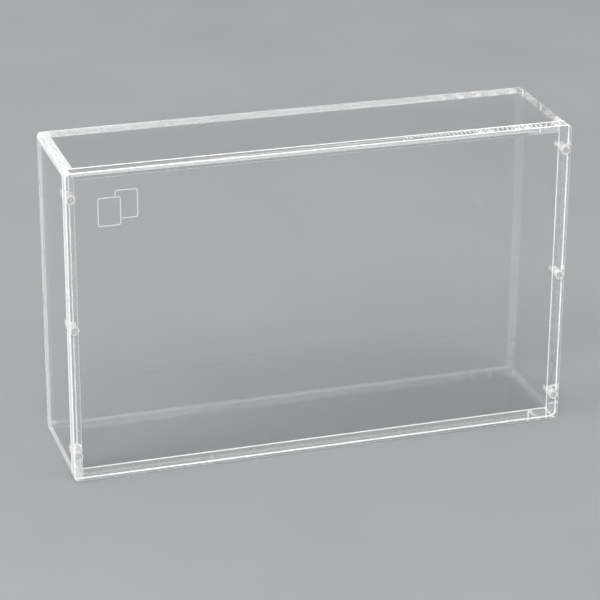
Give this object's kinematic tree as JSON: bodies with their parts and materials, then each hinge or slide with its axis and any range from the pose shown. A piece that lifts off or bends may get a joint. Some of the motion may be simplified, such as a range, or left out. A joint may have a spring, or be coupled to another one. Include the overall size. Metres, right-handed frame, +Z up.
{
  "type": "card deck box",
  "caption": "Clear acrylic display box for a boxed card set, standing on its long edge, with a lift-off front panel held on by round magnets.",
  "frame": {"origin": "centre of the footprint, on the surface the box stands on", "axes": "+X to the right along the longest side, +Y from the removable front panel to the back, +Z up"},
  "size_m": [0.4, 0.1, 0.251],
  "materials": {
    "acrylic": "clear cast acrylic sheet, polished faces and edges",
    "magnet": "bright nickel plate"
  },
  "bodies": {
    "case": {"left_wall": "acrylic", "right_wall": "acrylic", "bottom_panel": "acrylic", "top_panel": "acrylic", "back_panel": "acrylic", "wall_magnet_left_top": "magnet", "wall_magnet_left_middle": "magnet", "wall_magnet_left_bottom": "magnet", "wall_magnet_right_top": "magnet", "wall_magnet_right_middle": "magnet", "wall_magnet_right_bottom": "magnet"},
    "front_panel": {"front_panel": "acrylic", "panel_magnet_left_top": "magnet", "panel_magnet_left_middle": "magnet", "panel_magnet_left_bottom": "magnet", "panel_magnet_right_top": "magnet", "panel_magnet_right_middle": "magnet", "panel_magnet_right_bottom": "magnet"}
  },
  "joints": [
    {"name": "front_panel_pull", "type": "slide", "parent": "case", "child": "front_panel", "axis": [0, -1, 0], "range_m": [0, 0.12]}
  ]
}
